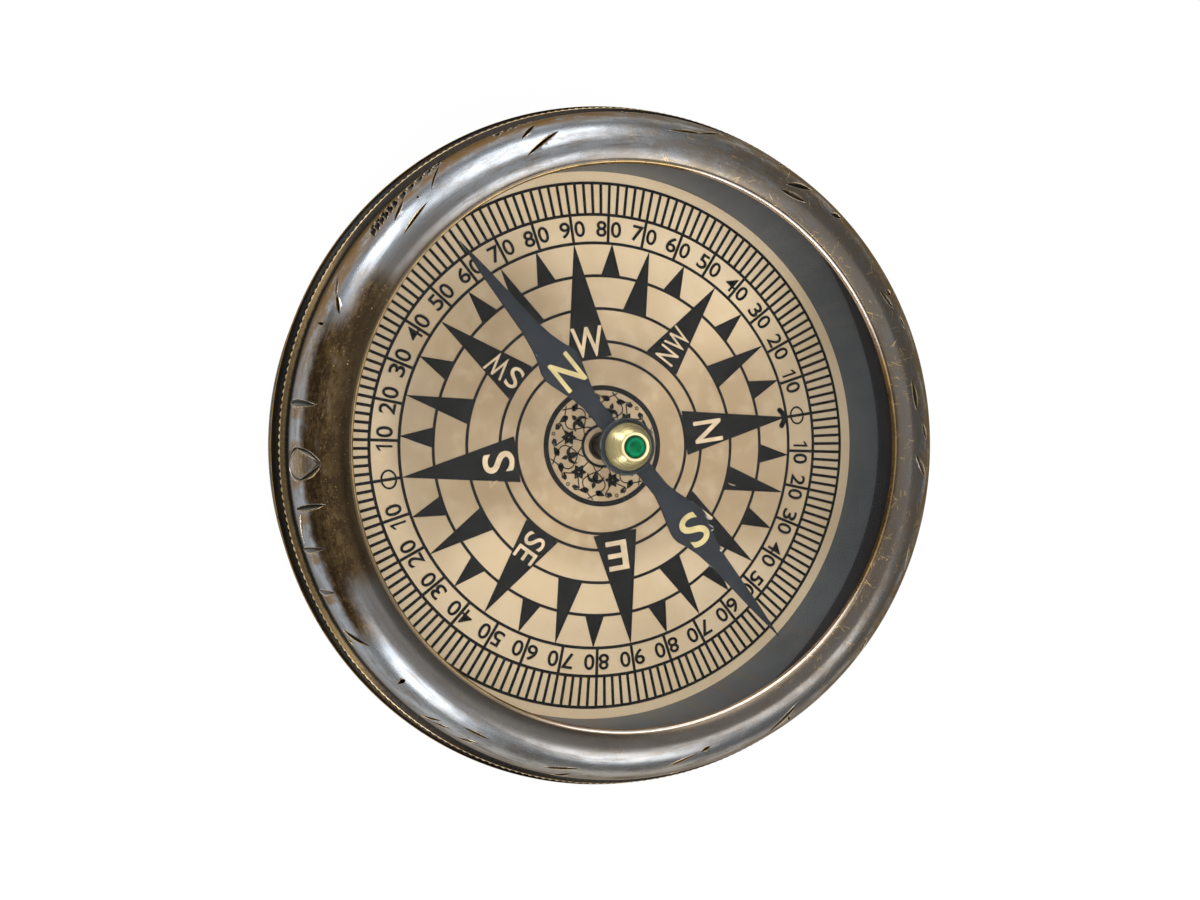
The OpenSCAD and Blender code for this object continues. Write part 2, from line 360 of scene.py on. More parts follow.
def makeStudio():
    for number, (side, rise, wide, tall, away, radiance) in enumerate(studio["boxes"]):
        data = bpy.data.lights.new(f"softBox{number}", "AREA")
        data.shape = "RECTANGLE"
        data.size, data.size_y = wide, tall
        data.energy = radiance * 4 * wide * tall    # the power that gives this radiance
        lamp = newObject(data.name, data)
        a, e = radians(side + northTurn), radians(rise)
        back = Vector((cos(a) * cos(e), sin(a) * cos(e), sin(e)))
        lamp.location = back * away
        lamp.rotation_euler = back.to_track_quat("Z", "Y").to_euler()
    world = bpy.data.worlds.new("studio")
    world.use_nodes = True
    sky = world.node_tree.nodes["Background"]
    sky.inputs["Color"].default_value = (1, 1, 1, 1)
    sky.inputs["Strength"].default_value = studio["sky"]
    bpy.context.scene.world = world
    mesh = bmesh.new()
    bmesh.ops.create_grid(mesh, x_segments=1, y_segments=1, size=studio["floor"] / mm / 2)
    bmesh.ops.translate(mesh, vec=(0, 0, -studio["floorDown"]), verts=mesh.verts)
    toObject(mesh, "floor", floorMaterial())
    bpy.context.scene.view_settings.view_transform = "Standard"


makeStudio()
print("stage: camera and studio")


# Finishes

bezelLook = {"slate": (0.355, 0.383, 0.415), "warm": (0.4, 0.38, 0.35), "deep": (0.13, 0.127, 0.122),
             "olive": (0.105, 0.067, 0.029), "oliveDeep": (0.043, 0.027, 0.014), "oliveLight": (0.19, 0.127, 0.063),
             "dark": (0.04, 0.028, 0.016), "umber": (0.16, 0.125, 0.086), "rust": (0.24, 0.15, 0.072),
             "gold": (0.55, 0.38, 0.16), "lipBrown": (0.13, 0.095, 0.058), "line": (0.09, 0.075, 0.06),
             "crown": (0.12, 0.104, 0.088), "paintedHighlight": (0.86, 0.76, 0.7), "paintedShade": (0.14, 0.153, 0.17),
             "edge": (0.36, 0.31, 0.25, 1), "roughness": 0.26, "oliveTurn": 180, "coolTurn": 155, "umberTurn": 18,
             "lowTurn": 130,
             # brown stains beside the notches on the left: turn, and the half width in degrees
             "stains": ((174.4, 0.9), (180.2, 1.3), (184.8, 1.4), (191.4, 0.9), (198.2, 0.8), (205.2, 0.8), (151, 1.6))}


def bezelFinish():
    look = bezelLook
    at, unit, out, z = newFinish("antiqueBezel", look["slate"], 1, look["roughness"])
    setValue("Specular Tint", look["edge"])
    s = minus(z, out)    # runs across the round, from the foot to the lip
    footS, middleS = footZ - bezelR, (footZ + roundR * 0.65) - (roundX + roundR * 0.76)
    long = streaks(unit, 9, s, 0.9)
    fine = streaks(unit, 45, s, 4.0, 1.0, 3)
    patch = noise(at, 0.45, 5, 0.65)
    speck = noise(at, 2.4, 4, 0.7)
    tone = spread(plus(times(long, 0.75), times(fine, 0.25)), 0.38, 0.66)
    right = toward(unit, look["umberTurn"], 40, 95)
    slate = mixColor(toward(unit, look["coolTurn"], 50, 110), look["warm"], look["slate"])
    # painted shade darkens the right side, and the foot is kept paler as a painted reflection of the floor; the streaks
    # are the metal's own tone
    body = spread(s, footS + 1.0, footS + 3.2, 0.4, 1.0)
    ground(mixColor(times(body, plus(times(tone, 0.5), times(right, 0.28))), slate, look["deep"]))
    # painted shade: the inner half of the round, towards the lip, is darkened, least at the top of the picture
    inside = spread(plus(s, times(patch, 1.4)), middleS + 1.6, middleS + 3.2)
    bright = plus(times(toward(unit, 95, 15, 45), -0.45), 0.75)
    paint(times(inside, bright), look["paintedShade"])
    # the upper half keeps an olive brown patina on the left, broken into streaks and darkest at the lip
    upper = spread(plus(s, times(patch, 2.4)), middleS + 0.7, middleS + 2.2)
    # it lies aslant: further round below at the middle, and above at the lip
    slant = spread(s, middleS + 1.5, middleS + 4.5)
    left = plus(times(toward(unit, look["oliveTurn"] + 6, 25, 31), minus(1.0, slant)),
                times(toward(unit, look["oliveTurn"] - 4, 25, 31), slant))
    ragged = spread(plus(times(long, 0.6), times(patch, 0.4)), 0.34, 0.46, 0.5)
    olive = times(left, upper, ragged)
    mixed = plus(times(patch, 0.25), times(long, 0.45), times(speck, 0.3))
    umber = times(right, spread(mixed, 0.4, 0.54), 0.85)
    rest = times(spread(mixed, 0.5, 0.62), body, 0.45)
    paint(most(umber, rest), look["umber"])
    # thin dark lines run round it, strongest towards the lip
    drawn = spread(streaks(unit, 6, s, 3.0, 1.0, 5, 0.65), 0.52, 0.64)
    drawn = times(drawn, spread(s, middleS + 0.5, middleS + 4.5, 0.05, 0.5))
    paint(drawn, look["line"])
    # painted shade: the crown and the slope to the lip are darkened brown, least at the top of the picture
    crown = spread(plus(s, times(patch, 1.2)), middleS + 3.2, middleS + 5.6)
    paint(times(crown, bright), look["crown"])
    # a warmer band over the foot at the upper left, and stains beside the notches
    rust = times(toward(unit, look["lowTurn"], 22, 50), spread(s, footS + 5.4, footS + 3.4),
                 spread(s, footS + 0.1, footS + 0.9), spread(mixed, 0.36, 0.52), 0.9)
    for turn, wide in look["stains"]:
        spot = times(toward(unit, turn, wide * 0.4, wide * 1.5), spread(s, footS + 5.2, footS + 3.4),
                     spread(s, footS + 1.0, footS + 2.2), spread(mixed, 0.36, 0.52), 0.85)
        rust = most(rust, spot)
    paint(rust, look["rust"])
    clouded = spread(plus(times(long, 0.4), times(patch, 0.3), times(speck, 0.3)), 0.45, 0.55)
    patina = mixColor(clouded, look["olive"], look["oliveDeep"])
    pale = plus(times(noise(at, 0.3, 4, 0.6), 0.6), times(fine, 0.4))
    patina = mixColor(times(spread(pale, 0.5, 0.62), 0.75), patina, look["oliveLight"])
    paint(olive, patina)
    brown = most(olive, umber, rust)
    inner = times(left, spread(plus(s, times(fine, 1.2)), middleS + 4.0, middleS + 6.2))
    paint(times(inner, 0.8), look["dark"])
    # brass comes through in specks near the foot, in hair scratches and as a thin line inside the lip
    low = times(spread(s, footS + 1.0, footS + 0.1), spread(speck, 0.52, 0.66))
    outside = times(right, spread(plus(s, times(patch, 1.6)), footS + 4.2, footS + 1.8), 0.6)
    paint(outside, look["lipBrown"])
    nearLip = spread(plus(out, times(long, 0.8)), lipR + 1.5, lipR + 0.55)
    paint(times(nearLip, 0.8), look["lipBrown"])
    # painted shade: darker still by the lip at the bottom of the picture
    under = times(toward(unit, -60, 35, 62), spread(plus(s, times(long, 2.0)), middleS + 5.0, middleS + 6.6), 0.35)
    paint(under, look["dark"])
    bead = times(spread(plus(out, times(speck, 0.1)), lipR + 0.3, lipR + 0.2), spread(long, 0.35, 0.6, 0.4, 1.0),
                 spread(toward(unit, -45, 35, 65), 0.0, 1.0, 1.0, 0.4))
    dots = spread(noise(at, 5.0, 2, 0.5), 0.7, 0.74)
    flakes = times(brown, most(dots, spread(speck, 0.68, 0.74)))
    hairs = scratches(at, (12, 47, 83, 118, 156), 0.45, 7.0, 0.71)
    hairs = times(hairs, spread(patch, 0.46, 0.56), spread(right, 0.1, 0.7, 0.15, 1.0), spread(left, 0.6, 0.0))
    gold = most(low, bead, flakes, hairs)
    paint(times(gold, 0.75), look["gold"])
    # painted highlights: a silver highlight is painted on the lip's bead at the upper right and along the bottom, and a
    # pale one along the foot's edge
    paintedLipHighlight = most(toward(unit, 50, 18, 34), times(toward(unit, -72, 24, 44), 0.6))
    paintedLipHighlight = times(paintedLipHighlight, spread(out, lipR + 0.3, lipR + 0.2))
    paint(paintedLipHighlight, look["paintedHighlight"])
    paint(times(spread(s, footS + 0.42, footS + 0.24), 0.7), look["paintedHighlight"])
    rough = plus(times(brown, 0.08), vary(long, look["roughness"], 0.02))
    bump(plus(noise(at, 0.2, 2), times(long, 0.06), times(speck, 0.006)), 0.06)
    return finished(rough)


def beyondRound(out, z):
    # how far a point lies outside the bezel's round, negative inside the cuts
    fromX = calc("POWER", minus(out, roundX), 2)
    fromZ = calc("POWER", minus(z, footZ), 2)
    return minus(calc("SQRT", plus(fromX, fromZ)), roundR)


def cutFinish():
    # the insides of the cuts: bright metal at the edge, darkened below with depth as painted shade, paler in the wide
    # notches on the left
    at, unit, out, z = newFinish("cutMetal", (0.03, 0.026, 0.02), 0.9, 0.36)
    grain = noise(at, 2.5, 4, 0.6)
    deep = plus(times(beyondRound(out, z), -1.0), times(grain, 0.05))
    fresh = toward(unit, 188, 17, 22)
    edge = mixColor(fresh, (0.45, 0.33, 0.17), (0.7, 0.66, 0.58))
    middle = mixColor(fresh, (0.08, 0.055, 0.03), (0.36, 0.33, 0.27))
    ground(mixColor(spread(deep, 0.015, 0.035), edge, middle))
    black = mixColor(fresh, (0.012, 0.009, 0.007), (0.09, 0.082, 0.068))
    paint(spread(deep, 0.045, 0.08), black)
    return finished(vary(grain, 0.35, 0.07))


def burrFinish():
    at, unit, out, z = newFinish("burrBrass", (0.55, 0.4, 0.2), 1, 0.28)
    grain = noise(at, 3.0, 4, 0.65)
    level = plus(beyondRound(out, z), times(grain, 0.03))
    ground(mixColor(spread(level, 0.015, 0.035), (0.36, 0.35, 0.34), (0.22, 0.15, 0.075)))
    paint(spread(level, 0.045, 0.07), (0.62, 0.5, 0.31))
    return finished(vary(grain, 0.28, 0.06))


def drumFinish():
    at, unit, out, z = newFinish("antiqueDrum", (0.015, 0.015, 0.016), 1, 0.3)
    setValue("Specular Tint", (0.2, 0.17, 0.13, 1))
    s = minus(z, out)
    long = streaks(unit, 12, s, 0.7)
    fine = streaks(unit, 50, s, 9.0, 1.0, 2)
    speck = noise(at, 1.7, 5, 0.7)
    ground(mixColor(spread(long, 0.42, 0.6), (0.015, 0.015, 0.015), (0.024, 0.018, 0.011)))
    # brass shows where hands and the table rub: on both rounded edges
    wall = spread(out, drumR - 0.15, drumR - 0.07)
    rubbed = most(spread(plus(z, times(speck, 4.0)), 6.0, 2.5), spread(z, drumTop - 1.3, drumTop - 0.5))
    edge = times(wall, rubbed, spread(speck, 0.3, 0.46))
    scuffs = times(spread(speck, 0.72, 0.78), 0.5)
    paint(most(edge, scuffs), (0.42, 0.29, 0.13))
    bump(plus(fine, times(speck, 0.5)), 0.03)
    return finished(spread(plus(times(fine, 0.5), times(speck, 0.5)), 0.35, 0.65, 0.24, 0.4))


def ringFinish():
    at, unit, out, z = newFinish("milledBrass", (0.5, 0.36, 0.18), 1, 0.3)
    speck = noise(at, 2.6, 4, 0.65)
    broad = noise(at, 0.12, 3)
    edgeR = ringR - walls["ringInset"]
    # painted shade: only the crests of the teeth near the top stay brass; between the teeth and down the milled side it
    # is darkened
    tip = spread(plus(out, times(speck, 0.06)), edgeR - 0.19, edgeR - 0.11)
    brass = mixColor(spread(broad, 0.42, 0.6), (0.66, 0.5, 0.28), (0.42, 0.29, 0.14))
    low = spread(z, edgeTop - 1.2, edgeTop - 0.35, 0.25, 1.0)
    ground(mixColor(times(tip, low), (0.04, 0.028, 0.015), brass))
    # its sloped shoulder is brown beside the teeth and black further in
    shoulder = spread(z, edgeTop - 0.02, edgeTop + 0.04)
    fade = spread(plus(out, times(speck, 0.2)), edgeR - 0.62, edgeR - 0.36)
    fade = times(fade, toward(unit, 184, 22, 42))
    worn = mixColor(fade, (0.014, 0.012, 0.01), (0.16, 0.11, 0.052))
    paint(shoulder, worn)
    return finished(vary(speck, 0.32, 0.08))


def turnedMetal(name, color, tarnish, roughness, pitch, metallic=1.0):
    at, unit, out, z = newFinish(name, color, metallic, roughness)
    rings = add("CombineXYZ", {0: out, 1: z}).outputs[0]
    lines = noise(rings, 1 / pitch, 2, 0.6)
    dull = spread(noise(at, 0.5, 5, 0.65), 0.42, 0.68)
    bump(lines, 0.0015)
    paint(dull, tarnish)
    return finished(vary(lines, roughness, 0.06))


def sleeveFinish():
    at, unit, out, z = newFinish("sleeveSatin", (0.06, 0.066, 0.074), 0, 0.26)
    setValue("Specular IOR Level", 0.16)
    drawn = streaks(unit, 26, z, 0.05, 1.0, 1)
    cloud = streaks(unit, 5, z, 0.1, 1.0, 3)
    ground(mixColor(spread(cloud, 0.36, 0.64), (0.068, 0.083, 0.1), (0.085, 0.1, 0.118)))
    # painted sheen: paler streaks, brightest at the upper right, and warm ones at the bottom of the picture
    lit = plus(times(toward(unit, 55, 20, 55), 0.3), 0.08)
    paint(times(spread(drawn, 0.48, 0.7), lit), (0.13, 0.135, 0.14))
    warm = times(toward(unit, -78, 15, 48), spread(drawn, 0.45, 0.65), 0.5)
    paint(warm, (0.12, 0.098, 0.076))
    # its top is navy where the lip shades it, widest on the right
    facing = toward(unit, -8, 14, 62)
    paint(times(spread(z, footZ - 9, footZ), 0.4), (0.03, 0.036, 0.052))
    paintedShade = spread(plus(z, times(facing, 3.2)), footZ - 0.6, footZ - 0.35)
    paint(times(paintedShade, 0.95), (0.006, 0.009, 0.018))
    dust = spread(noise(at, 4.0, 2, 0.5), 0.75, 0.8)
    paint(times(dust, 0.4), (0.35, 0.35, 0.35))
    return finished(vary(drawn, 0.315, 0.015))


def plainPaint(name, color, roughness, metallic=0.0, speck=(0.3, 0.3, 0.3), speckFrom=0.74):
    at = newFinish(name, color, metallic, roughness)[0]
    dust = spread(noise(at, 5.0, 1, 0.4), speckFrom, speckFrom + 0.05)
    soft = vary(noise(at, 0.6, 4), 1.0, 0.15)
    ground(mixColor(1.0, color, soft, "MULTIPLY"))
    paint(times(dust, 0.6), speck)
    bump(noise(at, 6.0, 3), 0.004)
    return finished(vary(noise(at, 1.1, 4), roughness, 0.06))


def needlePaint(name, color, light, edgeOut):
    at, unit, out, z = newFinish(name, color, 0, 0.45)
    speck = noise(at, 3.4, 4, 0.7)
    cloud = spread(noise(at, 0.35, 4, 0.6), 0.35, 0.65)
    paint(cloud, light)
    rub = times(spread(speck, 0.6, 0.7), 0.25)
    if edgeOut:
        rub = most(rub, times(spread(out, edgeOut - 0.22, edgeOut - 0.05), spread(speck, 0.42, 0.62), 0.7))
    setValue("Specular IOR Level", 0.16)
    bump(noise(at, 4.0, 3), 0.006)
    paint(rub, (0.16, 0.17, 0.16))
    return finished(vary(speck, 0.625, 0.075))


def paper():
    at, unit, out, z = newFinish("paper", (0.71, 0.53, 0.335), 0, 0.85)
    stain = spread(noise(at, 0.09, 4, 0.6), 0.35, 0.68)
    fibre = spread(noise(at, 3.4, 5, 0.7), 0.3, 0.75)
    # painted light and shade: browner in the middle and palest at the rim, partly the card's own tone and partly
    # painted light against the well's shadow; also painted paler low in the picture and darker towards a few turns
    low = times(toward(unit, 252, 22, 75), spread(out, 10, 17))
    dim = most(toward(unit, 0, 10, 50), toward(unit, 138, 8, 40), times(toward(unit, 180, 10, 40), spread(out, 27, 23)))
    level = plus(times(out, 0.036), times(low, 0.2), times(dim, -0.26), 0.04)
    inner = mixColor(stain, (0.5, 0.36, 0.22), (0.46, 0.318, 0.178))
    outer = mixColor(stain, (0.99, 0.765, 0.505), (0.91, 0.68, 0.42))
    ground(mixColor(spread(level, 0.42, 1.02), inner, outer))
    paint(times(fibre, 0.2), (0.56, 0.4, 0.24))
    cloud = spread(noise(at, 0.5, 3, 0.6), 0.45, 0.7)
    paint(times(cloud, 0.2), (0.86, 0.7, 0.5))
    fleck = spread(noise(at, 1.9, 2, 0.5), 0.76, 0.8)
    paint(times(fleck, 0.55), (0.38, 0.24, 0.12))
    # painted shadows: the card is darkened brown towards several turns, at the rim on the left and in the middle at the
    # top
    paintedShadows = plus(times(toward(unit, 0, 15, 45), 0.18), times(toward(unit, 138, 10, 40), 0.08),
                times(toward(unit, 184, 15, 42), spread(out, 28, 23), 0.22),
                times(toward(unit, 245, 25, 60), spread(out, 27, 22), spread(out, 11, 14), 0.16),
                times(toward(unit, 90, 15, 50), spread(out, 15, 11), 0.2))
    paint(paintedShadows, (0.1, 0.07, 0.04))
    bump(fibre, 0.01)
    return finished()


def ink():
    at = newFinish("ink", (0.012, 0.011, 0.01), 0, 0.6)[0]
    setValue("Specular IOR Level", 0.12)
    worn = spread(noise(at, 2.2, 5, 0.8), 0.75, 0.8)
    ground(mixColor(spread(noise(at, 0.7, 3), 0.3, 0.7), (0.01, 0.0095, 0.009), (0.018, 0.0175, 0.017)))
    paint(times(worn, 0.6), (0.4, 0.3, 0.2))
    return finished()


def jewelFinish():
    at, unit, out, z = newFinish("greenJewel", (0.0, 0.1, 0.035), 0, 0.12)
    setValue("IOR", 1.6)
    setValue("Specular IOR Level", 0.03)
    # painted light: lighter and darker facets round the stone, a lighter ring inside the table's edge and a darker
    # bevel stand in for the light a cut stone catches
    facets = spread(streaks(unit, 3.2, out, 0.9, 1.0, 1), 0.4, 0.6)
    ground(mixColor(facets, (0.0, 0.055, 0.022), (0.0, 0.135, 0.038)))
    girdle = times(spread(out, 0.62, 0.74), spread(out, 1.0, 0.9), 0.6)
    paint(girdle, (0.0, 0.23, 0.11))
    paint(times(spread(out, 1.02, 1.16), 0.75), (0.0, 0.05, 0.022))
    return finished()


def clearGlass():
    material = newMaterial("clearGlass", (1, 1, 1), 0, 0)
    clear = add("BsdfTransparent", {"Color": (0.992, 0.997, 0.994, 1)})
    gloss = add("BsdfGlossy", {"Roughness": 0.02})
    facing = add("LayerWeight", {"Blend": 0.5}).outputs["Facing"]
    rim = plus(times(calc("POWER", facing, 5), 0.97), 0.006)
    toSurface(rim, clear, gloss)
    graph["tree"].nodes.remove(graph["shader"])
    return material


finish = {
    "bezel": bezelFinish(),
    "burr": burrFinish(),
    "cut": cutFinish(),
    "drum": drumFinish(),
    "ring": ringFinish(),
    "cap": turnedMetal("capBrass", (0.98, 0.81, 0.41), (0.93, 0.73, 0.33), 0.25, 0.06, 0.88),
    "fixing": turnedMetal("fixingBrass", (0.62, 0.48, 0.25), (0.4, 0.29, 0.14), 0.32, 0.1),
    "setting": plainPaint("paleRim", (0.87, 0.7, 0.38), 0.35, 0.0, (0.6, 0.45, 0.2)),
    "bronze": turnedMetal("darkBronze", (0.04, 0.033, 0.025), (0.02, 0.017, 0.014), 0.4, 0.1),
    "steel": turnedMetal("pinSteel", (0.6, 0.6, 0.62), (0.4, 0.4, 0.42), 0.25, 0.1),
    "sleeve": sleeveFinish(),
    "seat": plainPaint("seatPaint", (0.012, 0.014, 0.018), 0.4, 0.2),
    "seal": plainPaint("sealBlack", (0.008, 0.008, 0.008), 0.6),
    "needle": needlePaint("needlePaint", (0.017, 0.019, 0.024), (0.025, 0.028, 0.034), None),
    "hub": needlePaint("hubBlack", (0.014, 0.016, 0.018), (0.024, 0.028, 0.031), radius("needle_hub")),
    "needleLetters": plainPaint("paleGoldPaint", (0.56, 0.44, 0.2), 0.5, 0.1, (0.3, 0.24, 0.12)),
    "chip": plainPaint("bareMetal", (0.42, 0.4, 0.34), 0.5, 0.2),
    "paper": paper(),
    "ink": ink(),
    "creamPrint": plainPaint("creamPrint", (0.7, 0.53, 0.34), 0.8, 0, (0.4, 0.3, 0.2), 0.8),
    "glass": clearGlass(),
    "jewel": jewelFinish(),
}
print("stage: finishes")


# Bezel: a turned ring, then graver cuts with raised burrs

def bezelPoint(turn, across):
    t = radians(turn + northTurn)
    out = Vector((cos(t), sin(t), 0))
    up = Vector((0, 0, 1))
    if across <= 1:
        a = radians(quarter * across)
        normal = out * cos(a) + up * sin(a)
        return out * roundX + up * footZ + normal * roundR, normal
    share = across - 1
    slope = Vector((crownZ - lipTop, roundX - lipR)).normalized()
    spot = out * (roundX + (lipR - roundX) * share) + up * (crownZ + (lipTop - crownZ) * share)
    return spot, (up * slope.y - out * slope.x).normalized()


engraving = {
    # turn and place across the round at each end, then the width: across is 0 at the foot and 1 on the crown
    "cuts": ((1, 0.63, 5, 0.74, 0.35), (7, 0.84, 13.5, 0.84, 0.4), (23, 0.66, 26, 0.67, 0.25),
             (27.5, 0.73, 32, 0.84, 0.32), (29.8, 0.64, 31.5, 0.7, 0.45), (47.2, 0.52, 49.5, 0.69, 0.5),
             (54.8, 0.53, 60.2, 0.81, 0.5), (54.8, 0.85, 60.9, 0.95, 0.4), (73.9, 0.4, 79, 0.63, 0.4),
             (78, 0.6, 85, 0.69, 0.45), (108.5, 0.39, 112.2, 0.63, 0.55), (105.3, 0.66, 113, 0.92, 0.5),
             (125.7, 0.25, 130.6, 0.64, 0.32), (134.9, 0.42, 138.9, 0.6, 0.45), (132.5, 0.74, 140.2, 0.84, 0.34),
             (151.3, 0.29, 154.4, 0.48, 0.4), (154.2, 0.48, 157.2, 0.67, 0.5), (172.8, 0.04, 172.8, 0.69, 1.0),
             (189.8, 0.2, 189.6, 0.8, 0.75), (190.4, 0.32, 195.6, 0.2, 0.5), (196.4, 0.04, 196.8, 0.62, 0.8),
             (203.5, 0.05, 204.3, 0.5, 0.75), (210.3, 0.2, 215, 0.56, 0.65), (212, 0.17, 214, 0.25, 0.5),
             (229.8, 0.24, 232.8, 0.48, 0.4), (232, 0.3, 235, 0.44, 0.4), (236.8, 0.3, 240.5, 0.48, 0.45),
             (236.2, 0.62, 241.6, 0.64, 0.3), (252.5, 0.47, 259, 0.6, 0.3), (255, 0.2, 257.8, 0.44, 0.55),
             (276.5, 0.18, 277.8, 0.35, 0.5), (274.9, 0.59, 280.7, 0.74, 0.25), (281.6, 0.74, 283.4, 0.8, 0.35),
             (295, 0.48, 303, 0.75, 0.45), (317, 0.4, 321.5, 0.6, 0.45), (336, 0.53, 341, 0.7, 0.22),
             (353.8, 0.61, 358.5, 0.91, 0.45)),
    # the pear-shaped mark: four thin bowed cuts, with the bow in degrees of turn
    "pear": ((182.8, 0.1, 179.9, 0.42, 0.42, -0.7), (179.9, 0.36, 182.6, 0.8, 0.42, -0.5),
             (182.8, 0.1, 185.1, 0.48, 0.42, 0.7), (185.1, 0.42, 182.6, 0.8, 0.42, 0.5)),
    # its raised middle: turn, place across at each end, half width and rise
    "boss": (182.6, 0.16, 0.72, 1.25, 0.022),
    # rows of small punches that grow: first and last place, count, first and last size
    "rows": ((126.3, 0.2, 134.2, 0.3, 5, 0.62, 0.64), (136.2, 0.34, 142.2, 0.41, 6, 0.5, 0.52),
             (136, 0.25, 141.5, 0.31, 5, 0.36, 0.4),
             (108.5, 0.14, 115, 0.28, 5, 0.3, 0.5), (86, 0.22, 92, 0.24, 4, 0.2, 0.28),
             (58, 0.4, 62, 0.42, 4, 0.18, 0.26)),
    "wedges": ((159.5, 0.32, 0.48, 0.34), (223, 0.47, 0.64, 0.5), (300, 0.42, 0.6, 0.3), (133, 0.54, 0.6, 0.22)),
    "depth": 0.3, "burrRise": 0.05, "burrWide": 1.12, "burrEdge": 0.1, "steps": 720, "roundSteps": 18,
    "footRound": 0.14, "underCrown": 0.002, "bead": 0.18, "grow": 0.95, "growRight": 1.5, "lean": 0.45,
    "cutTaper": 0.35, "punchTaper": 0.6, "punchWide": 0.95, "punchSlant": 0.16, "wedgeTaper": 0.9, "wedgeWide": 0.75,
}


def lens(path, halfWidth, depth, rise, taper=0.0, lean=0.0):
    # a pointed solid along a path: V-shaped below, and leaning so that one wall of a cut is steeper
    turnA, acrossA, turnB, acrossB, bow = path

    def along(share):
        return bezelPoint(turnA + (turnB - turnA) * share + bow * sin(pi * share),
                          acrossA + (acrossB - acrossA) * share)

    mesh = bmesh.new()
    bmesh.ops.create_uvsphere(mesh, u_segments=10, v_segments=12, radius=1)
    for vert in mesh.verts:
        s = vert.co.z
        share = (s + 1) / 2
        spot, normal = along(share)
        ahead = along(share + 0.01)[0]
        side = normal.cross(ahead - spot).normalized()
        girth = sqrt(max(0.0001, 1 - s * s))
        pinch = girth * girth * (1 - taper * share)
        x, y = vert.co.x / girth, vert.co.y / girth
        if lean and y < 0:
            y = abs(x) - 1
        x -= lean * y
        vert.co = spot + side * x * halfWidth * pinch + normal * y * girth * (rise if y > 0 else depth)
        if rise < depth:
            vert.co.z = min(vert.co.z, crownZ - engraving["underCrown"])
    mesh.normal_update()
    bmesh.ops.recalc_face_normals(mesh, faces=mesh.faces)
    return mesh


def engravedStrokes():
    strokes = []
    for turnA, acrossA, turnB, acrossB, width in engraving["cuts"]:
        grow = engraving["grow"] if 70 < turnA < 245 else engraving["growRight"]
        strokes.append(((turnA, acrossA, turnB, acrossB, 0), width / 2 * grow, engraving["cutTaper"]))
    for turnA, acrossA, turnB, acrossB, width, bow in engraving["pear"]:
        strokes.append(((turnA, acrossA, turnB, acrossB, bow), width / 2, 0))
    for turnA, acrossA, turnB, acrossB, count, small, large in engraving["rows"]:
        for i in range(count):
            share = i / (count - 1)
            size = small + (large - small) * share
            turn = turnA + (turnB - turnA) * share
            across = acrossA + (acrossB - acrossA) * share
            rise = size * engraving["punchSlant"]
            path = (turn - size, across - rise, turn + size, across + rise, 0)
            strokes.append((path, size * engraving["punchWide"], engraving["punchTaper"]))
    for turn, acrossA, acrossB, width in engraving["wedges"]:
        strokes.append(((turn, acrossB, turn, acrossA, 0), width * engraving["wedgeWide"], engraving["wedgeTaper"]))
    return strokes


def boolean(piece, other, operation):
    modifier = piece.modifiers.new(operation.lower(), "BOOLEAN")
    modifier.object = other
    modifier.operation = operation
    modifier.solver = "EXACT"
    modifier.use_self = True
    modifier.material_mode = "TRANSFER"
    data = evaluated(piece)
    piece.modifiers.clear()
    piece.data = data
    bpy.data.objects.remove(other)


def makeBezel():
    seatTop, rounding = top("glass_seal"), engraving["footRound"]
    outline = [(bezelR - rounding, footZ), (bezelR - rounding * 0.3, footZ + rounding * 0.3)]
    outline += arc(roundX, footZ, roundR, 3, 86, engraving["roundSteps"])
    # the crown runs smoothly into the slope, which ends in a groove and a fine bead on the lip
    slope, bead = walls["rise"] / (roundX - lipR), engraving["bead"]
    outline += [(roundX, crownZ - 0.015), (roundX - 0.35, crownZ - 0.1)]
    outline += [(lipR + bead * 2.7, crownZ - slope * (roundX - lipR - bead * 2.7)),
                (lipR + bead * 2.3, lipTop + bead * 0.6)]
    outline += arc(lipR + bead, lipTop - 0.04, bead, 60, 180, 8)
    boreR, neckZ = sleeveR + walls["seatGap"], neckTop + walls["seatGap"]
    outline += [(lipR, seatTop), (boreR, seatTop), (boreR, neckZ), (threadR, neckZ), (threadR, footZ)]
    bezel = toObject(lathe(outline, engraving["steps"]), "bezelRing", finish["bezel"])
    raised, cut, lean = bmesh.new(), bmesh.new(), engraving["lean"]
    for path, half, taper in engravedStrokes():
        burrHalf = half * engraving["burrWide"] + min(engraving["burrEdge"], half * 0.4)
        joinInto(raised, lens(path, burrHalf, 0.2, engraving["burrRise"], taper, lean))
        joinInto(cut, lens(path, half, engraving["depth"] * min(1, half * 4), 0.4, taper, lean))
    turn, low, high, half, rise = engraving["boss"]
    joinInto(raised, lens((turn, low, turn, high, 0), half, 0.3, rise))
    boolean(bezel, toObject(raised, "burrs", finish["burr"]), "UNION")
    boolean(bezel, toObject(cut, "cuts", finish["cut"]), "DIFFERENCE")
    bezel.data.polygons.foreach_set("use_smooth", [True] * len(bezel.data.polygons))
    bezel.data.set_sharp_from_angle(angle=radians(30))
    place(bezel, "case", "bezel_grey", "bezel")


makeBezel()
print("stage: bezel")


# Case: the drum with its neck, and the milled ring

milling = {"teeth": 300, "stepsPerTooth": 6, "chamfer": 0.13, "drumSteps": 480, "threadDeep": 0.14, "inside": 0.001}


